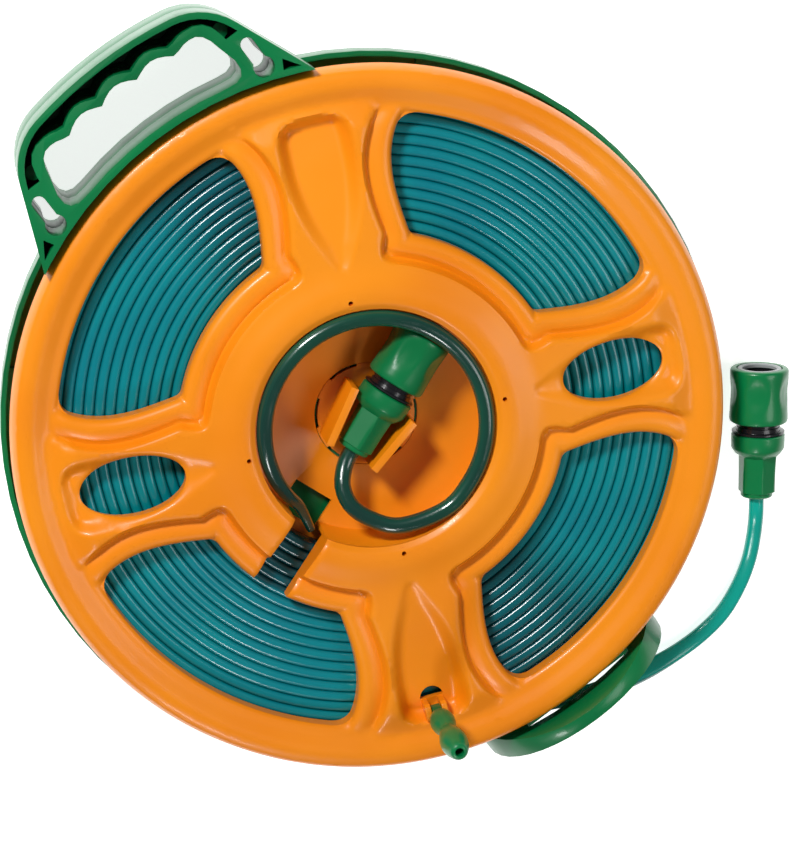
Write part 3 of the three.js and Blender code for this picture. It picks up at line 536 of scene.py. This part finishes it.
def window_loop(middle, grow, step=2.4):
    """A window's outline, pushed outwards by grow, with its corners rounded."""
    inner = WINDOW_INNER - grow
    outer = WINDOW_OUTER + grow * 0.38
    radii = np.linspace(outer, inner, 40)
    reach = half_span(radii) + np.degrees(grow / radii)
    far = polar(outer, np.linspace(middle - reach[0], middle + reach[0], 80))
    near = polar(inner, np.linspace(middle + reach[-1], middle - reach[-1], 60))
    sides = [far, polar(radii, middle + reach), near, polar(radii[::-1], middle - reach[::-1])]
    cuts = [8.5 + grow * 0.4, 3.5, 3.5, 8.5 + grow * 0.4]
    outline = []
    for i, side in enumerate(sides):
        run = np.r_[0, np.cumsum(np.linalg.norm(np.diff(side, axis=0), axis=1))]
        start, end = cuts[i - 1], cuts[i]
        at = np.linspace(start, run[-1] - end, max(4, int((run[-1] - start - end) / step)))
        kept = np.stack([np.interp(at, run, side[:, k]) for k in range(2)], 1)
        outline.append(kept)
        corner, after = side[-1], sides[(i + 1) % 4]
        onward = after[0] + (after[3] - after[0]) / np.linalg.norm(after[3] - after[0]) * end
        t = np.linspace(0, 1, 7)[1:-1, None]
        outline.append((1 - t) ** 2 * kept[-1] + 2 * t * (1 - t) * corner + t * t * onward)
    return np.vstack(outline)


def dish_half(along):
    """Half the width of a dish at a distance from the axis."""
    opening = np.clip((along - DISH_START) / 62, 0, 1)
    closing = np.clip((along - (DISH_END - 17)) / 17, 0, 1)
    return DISH_HALF * np.sin(opening * np.pi / 2) ** 0.62 * (1 - closing**3.2) ** (1 / 3.2)


def oval_loop(middle, grow, count=56):
    t = np.linspace(0, 2 * np.pi, count, endpoint=False)
    along, side = OVAL_CENTRE + (OVAL_LONG + grow) * np.cos(t), (OVAL_SHORT + grow) * np.sin(t)
    c, s = math.cos(math.radians(middle)), math.sin(math.radians(middle))
    return np.stack([along * c - side * s, along * s + side * c], 1)


def blurred(points, sigma):
    grid = np.arange(50, 200.01, 0.25)
    heights = np.interp(grid, [p[0] for p in points], [p[1] for p in points])
    kernel = np.exp(-0.5 * (np.arange(-16, 17) * 0.25 / sigma) ** 2)
    soft = np.convolve(np.pad(heights, 16, mode="edge"), kernel / kernel.sum(), "valid")
    return grid, np.where(grid > 191, heights, soft)


STAR = blurred([(50, 49.4), (65.8, 50.0), (68.6, 52.9), (77, 52.8), (86, 50.6), (92, 50), (163, 49.6),
                (176, 44.6), (183.5, 48.4), (189, 48.3), (191.5, 46.9), (193.5, 43.6), (195, 38.2)], 1.3)
BAND = blurred([(50, 43.4), (160, 43.3), (170, 43.2), (176, 44.6), (183.5, 48.4), (189, 48.3),
                (191.5, 46.9), (193.5, 43.6), (195, 38.2)], 1.3)


def face_height(points):
    """Height of the disc's face over the plane, in millimetres."""
    x, y = points[:, 0], points[:, 1]
    radius = np.hypot(x, y)
    angle = np.degrees(np.arctan2(y, x))
    star = np.interp(radius, *STAR)
    band = np.interp(radius, *BAND)
    raised = np.ones(len(x))
    ridge = np.zeros(len(x))
    roll = np.zeros(len(x))
    for middle in WINDOWS:
        off = np.abs((angle - middle + 180) % 360 - 180)
        beside = np.radians(off - half_span(radius)) * radius * 0.97
        inside = WINDOW_INNER - radius
        corner = (np.maximum(beside, 0) ** 4 + np.maximum(inside, 0) ** 4) ** 0.25
        out = np.where(corner > 0, corner, np.maximum(beside, inside))
        raised = np.minimum(raised, eased(FRAME_BAND - 1.9, FRAME_BAND + 1.7, out))
        crest = np.clip(out / 12.8, 0, 1)
        ridge = np.maximum(ridge, np.sin(np.pi * crest**0.8) * (1 - eased(166, 175, radius)))
        edge = np.maximum(out, radius - WINDOW_OUTER)
        roll = np.maximum(roll, (1 - np.clip(edge / 2.2, 0, 1)) ** 2)
    height = band + 2.3 * ridge + (star - band - 2.3 * ridge) * raised
    for middle in ARMS:
        c, s = math.cos(math.radians(middle)), math.sin(math.radians(middle))
        along, side = x * c + y * s, np.abs(-x * s + y * c)
        has_crank = middle in (ARMS[0], ARMS[2])
        depth = 0.9 + np.clip(along - DISH_START, 0, 74) * (0.138 if has_crank else 0.078)
        half = np.where((along > DISH_START) & (along < DISH_END), dish_half(along), 0)
        wall = np.minimum(np.full(len(x), 9.0), 0.8 * half + 0.01)
        inner = eased(0, 1, (half - side) / wall) * eased(DISH_END + 1, DISH_END - 8, along)
        height = height - np.where(half > 0, depth * inner, 0)
        if not has_crank:
            outside = np.hypot((along - OVAL_CENTRE) / OVAL_LONG, side / OVAL_SHORT) - 1
            roll = np.maximum(roll, (1 - np.clip(outside * OVAL_SHORT / 2.0, 0, 1)) ** 2 * (along > 80))
    c, s = math.cos(math.radians(SLOT_ANGLE)), math.sin(math.radians(SLOT_ANGLE))
    along, side = x * c + y * s, np.abs(-x * s + y * c) - SLOT_WIDTH / 2
    near = (along > 60) & (along < 110)
    roll = np.maximum(roll, np.where(near, (1 - np.clip(side / 2.2, 0, 1)) ** 2, 0))
    return height - 1.3 * roll


def within(points, loop):
    """Which points lie inside a closed loop, by counting crossings."""
    inside = np.zeros(len(points), bool)
    for (x0, y0), (x1, y1) in zip(loop, np.roll(loop, -1, axis=0)):
        if y0 == y1:
            continue
        crosses = (y0 > points[:, 1]) != (y1 > points[:, 1])
        inside ^= crosses & (points[:, 0] < (x1 - x0) * (points[:, 1] - y0) / (y1 - y0) + x0)
    return inside


def circle(radius, count, centre=(0, 0)):
    return polar(radius, np.linspace(0, 360, count, endpoint=False)) + np.array(centre)


def slot_box():
    c, s = math.cos(math.radians(SLOT_ANGLE)), math.sin(math.radians(SLOT_ANGLE))
    along, half = np.array([60, 110, 110, 60]), SLOT_WIDTH / 2
    side = np.array([-half, -half, half, half])
    return np.stack([along * c - side * s, along * s + side * c], 1)


def moon_loop():
    bend = np.radians(np.linspace(CRANK_ANGLE + 90, CRANK_ANGLE + 270, 17))
    return polar(CRANK_CIRCLE - 5.6, CRANK_ANGLE) + 6.5 * np.stack([np.cos(bend), np.sin(bend)], 1)


def disc_face():
    loops, cuts = [], []
    for middle in WINDOWS:
        growths = (0, 0.8, 1.8, 3.5, 6, 9, 11.3, 12.6, 13.4, 14.2, 15, 15.8, 17)
        loops += [window_loop(middle, grow) for grow in growths]
        cuts.append((window_loop(middle, 0), 33.6))
    for middle in (ARMS[1], ARMS[3]):
        loops += [oval_loop(middle, grow) for grow in (0, 0.8, 1.8, 3.2)]
        cuts.append((oval_loop(middle, 0), 40.0))
    for radius in (66.4, 67.2, 68.2, 69.4, 73.5, 76, 79, 82, 85, 88, 178.5, 181, 183.5, 186, 188.5, 190.2,
                   191.5, 192.5, 193.5, 194.3):
        loops.append(circle(radius, 240))
    for middle in ARMS:
        hole = circle(1.3, 12, polar(70.8, middle))
        loops.append(hole)
        cuts.append((hole, 45.0))
    cuts.append((moon_loop(), 35.0))
    loops.append(moon_loop())
    recess, rim = circle(RECESS, 240), circle(RIM, 360)
    loops += [recess, rim]
    slot = slot_box()
    slot_cut = [np.linspace(slot[0], slot[1], 24), np.linspace(slot[3], slot[2], 24)]
    step = 3.4
    grid_x, grid_y = np.meshgrid(np.arange(-196, 196, step), np.arange(-196, 196, step * 0.866))
    grid_x = grid_x + (np.arange(grid_x.shape[0]) % 2)[:, None] * step / 2
    spread = np.stack([grid_x.ravel(), grid_y.ravel()], 1)
    fine = 1.9
    along, side = np.meshgrid(np.arange(DISH_START - 3, DISH_END + 4, fine * 0.866), np.arange(-24, 24.1, fine))
    side = side + (np.arange(along.shape[1]) % 2) * fine / 2
    for middle in ARMS:
        c, s = math.cos(math.radians(middle)), math.sin(math.radians(middle))
        x, y = spread.T
        in_dish = (np.abs(x * c + y * s - 130) < 44) & (np.abs(-x * s + y * c) < 25.5)
        patch = np.stack([(along * c - side * s).ravel(), (along * s + side * c).ravel()], 1)
        spread = np.vstack([spread[~in_dish], patch])
    ringed = np.vstack(loops + slot_cut)
    cells = {}
    for px, py in ringed:
        cells.setdefault((int(px // 3), int(py // 3)), []).append((px, py))
    free = []
    for px, py in spread:
        cx, cy = int(px // 3), int(py // 3)
        close = [q for i in (-1, 0, 1) for j in (-1, 0, 1) for q in cells.get((cx + i, cy + j), [])]
        radius = math.hypot(px, py)
        if RECESS + 1 < radius < RIM - 1 and all((px - qx) ** 2 + (py - qy) ** 2 > 2.6 for qx, qy in close):
            free.append((px, py))
    points = [tuple(p) for loop in loops for p in loop]
    edges = []
    start = 0
    for loop in loops:
        count = len(loop)
        edges += [(start + i, start + (i + 1) % count) for i in range(count)]
        start += count
    for line in slot_cut:
        points += [tuple(p) for p in line]
        edges += [(start + i, start + i + 1) for i in range(len(line) - 1)]
        start += len(line)
    points += free
    made, _, triangles, _, _, _ = delaunay_2d_cdt([Vector(p) for p in points], edges, [], 0, 1e-4)
    flat = np.array([(p.x, p.y) for p in made])
    triangles = np.array([t for t in triangles if len(t) == 3])
    centres = flat[triangles].mean(1)
    keep = within(centres, rim) & ~within(centres, recess) & ~within(centres, slot)
    for loop, _ in cuts:
        keep &= ~within(centres, loop)
    return flat, triangles[keep], cuts


def disc_mesh():
    flat, triangles, cuts = disc_face()
    corners = flat[triangles]
    area = np.cross(corners[:, 1] - corners[:, 0], corners[:, 2] - corners[:, 0])
    triangles[area < 0] = triangles[area < 0][:, ::-1]
    triangles = triangles[np.abs(area) > 1e-6]
    top = np.c_[flat, face_height(flat)]
    sides = dict.fromkeys((triangle[i], triangle[(i + 1) % 3]) for triangle in triangles for i in range(3))
    border = [edge for edge in sides if (edge[1], edge[0]) not in sides]
    radius = np.hypot(flat[:, 0], flat[:, 1])
    depth_at = np.full(len(flat), 33.6)
    depth_at[radius < RECESS + 0.2] = 47.03
    for loop, low in cuts[len(WINDOWS):]:
        centre, size = loop.mean(0), np.ptp(loop, axis=0).max() / 2 + 3
        depth_at[np.hypot(*(flat - centre).T) < size] = low
    points, faces, below = [tuple(p) for p in top], [tuple(t) for t in triangles], {}
    for index in {i for edge in border for i in edge}:
        if radius[index] > RIM - 0.5:
            continue
        x, y, z = top[index]
        below[index] = (len(points), len(points) + 1)
        points += [(x, y, z - 0.9), (x, y, min(depth_at[index], z - 1.5))]
    for a, b in border:
        if a in below and b in below:
            (a1, a2), (b1, b2) = below[a], below[b]
            faces += [(b, a, a1, b1), (b1, a1, a2, b2)]
    return mesh_from("front_disc_face", np.array(points) * MM, faces)


def evaluated_mesh(piece, name):
    bpy.context.view_layer.update()
    mesh = bpy.data.meshes.new_from_object(piece.evaluated_get(bpy.context.evaluated_depsgraph_get()))
    mesh.name = name
    piece.modifiers.clear()
    piece.data = mesh
    return mesh


front = linked("front_disc_face", disc_mesh())
work = bmesh.new()
work.from_mesh(front.data)
loose = [v for v in work.verts if not v.link_faces]
bmesh.ops.delete(work, geom=loose, context="VERTS")
work.to_mesh(front.data)
work.free()
wall = front.modifiers.new("skin", "SOLIDIFY")
wall.thickness = SKIN * MM
wall.offset = -1
wall.use_even_offset = False
evaluated_mesh(front, "front_disc_face")
smooth(front.data, 42)
front.data.materials.append(ORANGE)
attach(front, "reel")
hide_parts("front_disc")


# ---- Crank --------------------------------------------------------------------------------------
# A green rod on a flat neck, which folds between two ears of the disc, and a grip with two swells
# that is pushed over the rod and turns on it. The ears are moulded on the disc.
def turned_piece(name, profile, sides, place, dent=None):
    """A closed profile of (along, radius) in mm, turned about the X axis and put in place. A dent gives
    how far the surface sinks at a distance along and an angle round."""
    around = np.linspace(0, 2 * np.pi, sides, endpoint=False)
    count = len(profile)
    points = []
    for along, radius in profile:
        sink = dent(along, radius, around) if dent else 0.0
        ring = np.full(sides, radius) - sink
        points.append(np.c_[np.full(sides, along), ring * np.cos(around), ring * np.sin(around)])
    points = np.vstack(points) * MM
    faces = [(i * sides + j, i * sides + (j + 1) % sides, (i + 1) % count * sides + (j + 1) % sides,
              (i + 1) % count * sides + j) for i in range(count) for j in range(sides)]
    turn, start = place
    mesh = mesh_from(name, points @ np.array(turn).T + np.array(start), faces)
    outward(mesh)
    smooth(mesh, 38)
    return linked(name, mesh)


def rounded_profile(points, steps=5):
    """A smooth line through the points, as a Catmull-Rom curve."""
    given = np.array(points, float)
    given = np.vstack([2 * given[0] - given[1], given, 2 * given[-1] - given[-2]])
    line = []
    for p0, p1, p2, p3 in zip(given, given[1:], given[2:], given[3:]):
        for t in np.linspace(0, 1, steps, endpoint=False):
            line.append(0.5 * (2 * p1 + (p2 - p0) * t + (2 * p0 - 5 * p1 + 4 * p2 - p3) * t**2
                               + (3 * p1 - p0 - 3 * p2 + p3) * t**3))
    return [tuple(p) for p in line] + [tuple(given[-2])]


GREEN = moulded("green_plastic", "017a42", "016637", 0.34, 0.16)
crank_at = polar(CRANK_CIRCLE, CRANK_ANGLE) * MM
strut_low, strut_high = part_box("crank_strut")
grip_low, grip_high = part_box("crank_grip")
GRIP_LENGTH = (grip_high.z - grip_low.z) / MM
upright = ([[0, 1, 0], [0, 0, 1], [1, 0, 0]], (crank_at[0], crank_at[1], grip_low.z))
swells = [(0.7, 5.0), (3.2, 5.9), (8.7, 6.9), (15.2, 6.3), (21.7, 4.4), (25.2, 4.3), (32.7, 6.2), (41.2, 7.4),
          (47.7, 7.1), (54.7, 5.6), (57.6, 4.6)]
grip_end = [(58.5, 3.6), (GRIP_LENGTH, 3.0), (GRIP_LENGTH, 2.4), (55, 2.2), (51, 2.6)]
grip_profile = [(0, 2.6), (0, 4.2)] + rounded_profile(swells) + grip_end
crank_handle = turned_piece("crank_handle", grip_profile, 40, upright)
crank_handle.data.materials.append(GREEN)
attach(crank_handle, "grip")
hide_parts("crank_grip")


def crank_ears():
    c, s = math.cos(math.radians(CRANK_ANGLE)), math.sin(math.radians(CRANK_ANGLE))
    outline = [(-5, 36), (5, 36), (5, 47.5), (3.9, 50), (1.6, 51), (-1.6, 51), (-3.9, 50), (-5, 47.5)]
    points, faces = [], []
    for near, far in ((2.85, 6.3), (-6.3, -2.85)):
        start = len(points)
        for side in (near, far):
            points += [((CRANK_CIRCLE + u) * c - side * s, (CRANK_CIRCLE + u) * s + side * c, z)
                       for u, z in outline]
        count = len(outline)
        faces += [tuple(start + i for i in range(count)), tuple(start + count + i for i in range(count))[::-1]]
        faces += [(start + i, start + count + i, start + count + (i + 1) % count, start + (i + 1) % count)
                  for i in range(count)]
    mesh = mesh_from("crank_ears", np.array(points) * MM, faces)
    outward(mesh)
    return linked("crank_ears", mesh)


ears = crank_ears()
ears.data.materials.append(ORANGE)
edge = ears.modifiers.new("edge", "BEVEL")
edge.width = 0.0007
edge.segments = 3
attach(ears, "reel")


# ---- Couplings ----------------------------------------------------------------------------------
# Snap couplings on both ends of the hose. A clamping nut screws on a black core that holds the hose;
# a spring pushes the collar, dented for the fingers, over the core; a grey ring shows in its mouth.
NUT = [(0, 5.4), (0, 8.2), (0.7, 8.9), (2.6, 9.0), (3.0, 10.3), (14, 10.5), (21.5, 10.7), (23.4, 11.3),
       (25.6, 12.9), (27.8, 14.4), (28.6, 14.8), (33.0, 14.95), (35.9, 14.95), (36.6, 14.2), (36.6, 12.7),
       (31, 12.6), (25, 8.1), (6, 8.1), (6, 5.4)]
CORE = [(8, 3.5), (8, 7.5), (28, 7.5), (33, 8.9), (36.9, 8.9), (36.9, 14.2), (37.3, 14.8), (38.2, 14.8),
        (38.5, 14.3), (38.5, 12.4), (40.6, 12.2), (40.8, 11.6), (41.8, 11.6), (42.0, 12.2), (43.6, 12.2),
        (43.6, 10.9),
        (70.9, 10.8), (71.5, 10.3), (71.5, 9.0), (46.5, 8.9), (46.5, 3.5)]
COLLAR = [(43.4, 12.8), (43.3, 15.2), (43.9, 16.0), (45.2, 16.35), (47.5, 16.3), (50, 16.15), (52.5, 16.0),
          (55, 15.9), (57.5, 15.85), (60, 15.85), (62.5, 15.9), (65, 16.0), (67.5, 16.15), (70, 16.3),
          (72.3, 16.4), (73.4, 16.1), (74, 15.3), (74, 12.9), (61.5, 12.7), (61.5, 11.3),
          (59, 11.3), (59, 12.7)]
MOUTH_RING = [(71.9, 9.7), (71.9, 12.3), (73.6, 12.3), (74, 11.9), (74, 10.4), (73.4, 9.7)]
FINGER_DENTS = 5
BLACK = moulded("black_plastic", "1b1b1f", "121215", 0.24, 0.3)
GREY = moulded("grey_plastic", "a0a5a6", "8e9394", 0.42, 0.05)


def collar_dent(along, radius, around):
    if radius < 14:
        return 0.0
    spread = np.abs((around * FINGER_DENTS / (2 * np.pi) + 0.5) % 1 - 0.5) * 2
    oval = np.hypot(spread / 0.62, (along - 61) / 8.5)
    return 1.1 * np.clip(1 - oval**3, 0, 1) ** 0.7


def nut_flats(along, radius, around):
    if radius < 9.5 or along > 23.8:
        return 0.0
    sixth = math.pi / 3
    flat = 9.35 / np.cos((around + 0.5 * sixth) % sixth - 0.5 * sixth)
    return np.maximum(radius - flat, 0)


def add_coupling(prefix, body, collar_body, angle, tip, height):
    c, s = math.cos(angle), math.sin(angle)
    place = ([[c, -s, 0], [s, c, 0], [0, 0, 1]], (tip[0] * MM, tip[1] * MM, height * MM))
    for part, profile, dent, finish, slot, rides in (
            ("nut", NUT, nut_flats, GREEN, "green_plastic", body),
            ("core", CORE, None, BLACK, "black_plastic", body),
            ("collar", COLLAR, collar_dent, GREEN, "green_plastic", collar_body),
            ("socket_ring", MOUTH_RING, None, GREY, "grey_plastic", body)):
        piece = turned_piece(f"{prefix}_{part}_turned", profile, 72, place, dent)
        piece.data.materials.append(finish)
        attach(piece, rides)
        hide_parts(f"{prefix}_{part}")


add_coupling("lead", "reel", "lead_collar", LEAD_ANGLE, LEAD_TIP, LEAD_HEIGHT)
add_coupling("tail", "frame", "tail_collar", TAIL_ANGLE, TAIL_TIP, TAIL_HEIGHT)


# ---- Frame, drum and small parts --------------------------------------------------------------
# The green frame, handle and foot and the orange drum and hub clip are moulded, so their edges are
# rounded a little. Screws and springs are plated steel, and the seals are rubber.
def plated_steel():
    paint = Paint("plated_steel")
    streak = paint.noise(900, 3, (1, 1, 0.2))
    colour = paint.mix(streak, linear("a9acb0"), linear("c9ccd0"))
    return paint.finish(Base_Color=colour, Metallic=1.0, Roughness=0.24 + streak * 0.16)


STEEL = plated_steel()


SEAL = moulded("seal_rubber", "101010", "090909", 0.6, 0.0)
FINISHES = {"green_plastic": GREEN, "orange_plastic": ORANGE, "black_plastic": BLACK, "grey_plastic": GREY,
            "steel": STEEL, "seal_rubber": SEAL, "teal_hose": VINYL}
slot_of = {row["node"]: row["material_slot"] for row in frame["record"]["subparts"]}


def soften(node, width, angle=35):
    """Joins a CAD node's loose faces and breaks its edges by a small round, as a mould leaves them."""
    piece = frame["nodes"][node]
    weld = piece.modifiers.new("join", "WELD")
    weld.merge_threshold = 0.00001
    flatten = piece.modifiers.new("flatten", "DECIMATE")
    flatten.decimate_type = "DISSOLVE"
    flatten.angle_limit = math.radians(0.6)
    bevel = piece.modifiers.new("edge", "BEVEL")
    bevel.width = width
    bevel.segments = 2
    bevel.limit_method = "ANGLE"
    bevel.angle_limit = math.radians(angle)
    split = piece.modifiers.new("crisp", "EDGE_SPLIT")
    split.split_angle = math.radians(33)
    split.use_edge_sharp = False
    piece.data.polygons.foreach_set("use_smooth", [True] * len(piece.data.polygons))


for node, piece in frame["nodes"].items():
    piece.data.materials.clear()
    piece.data.materials.append(FINISHES[slot_of[node]])
for node in ("rear_frame", "handle_front", "foot", "hub_clip", "drum", "crank_strut"):
    soften(node, 0.0006)
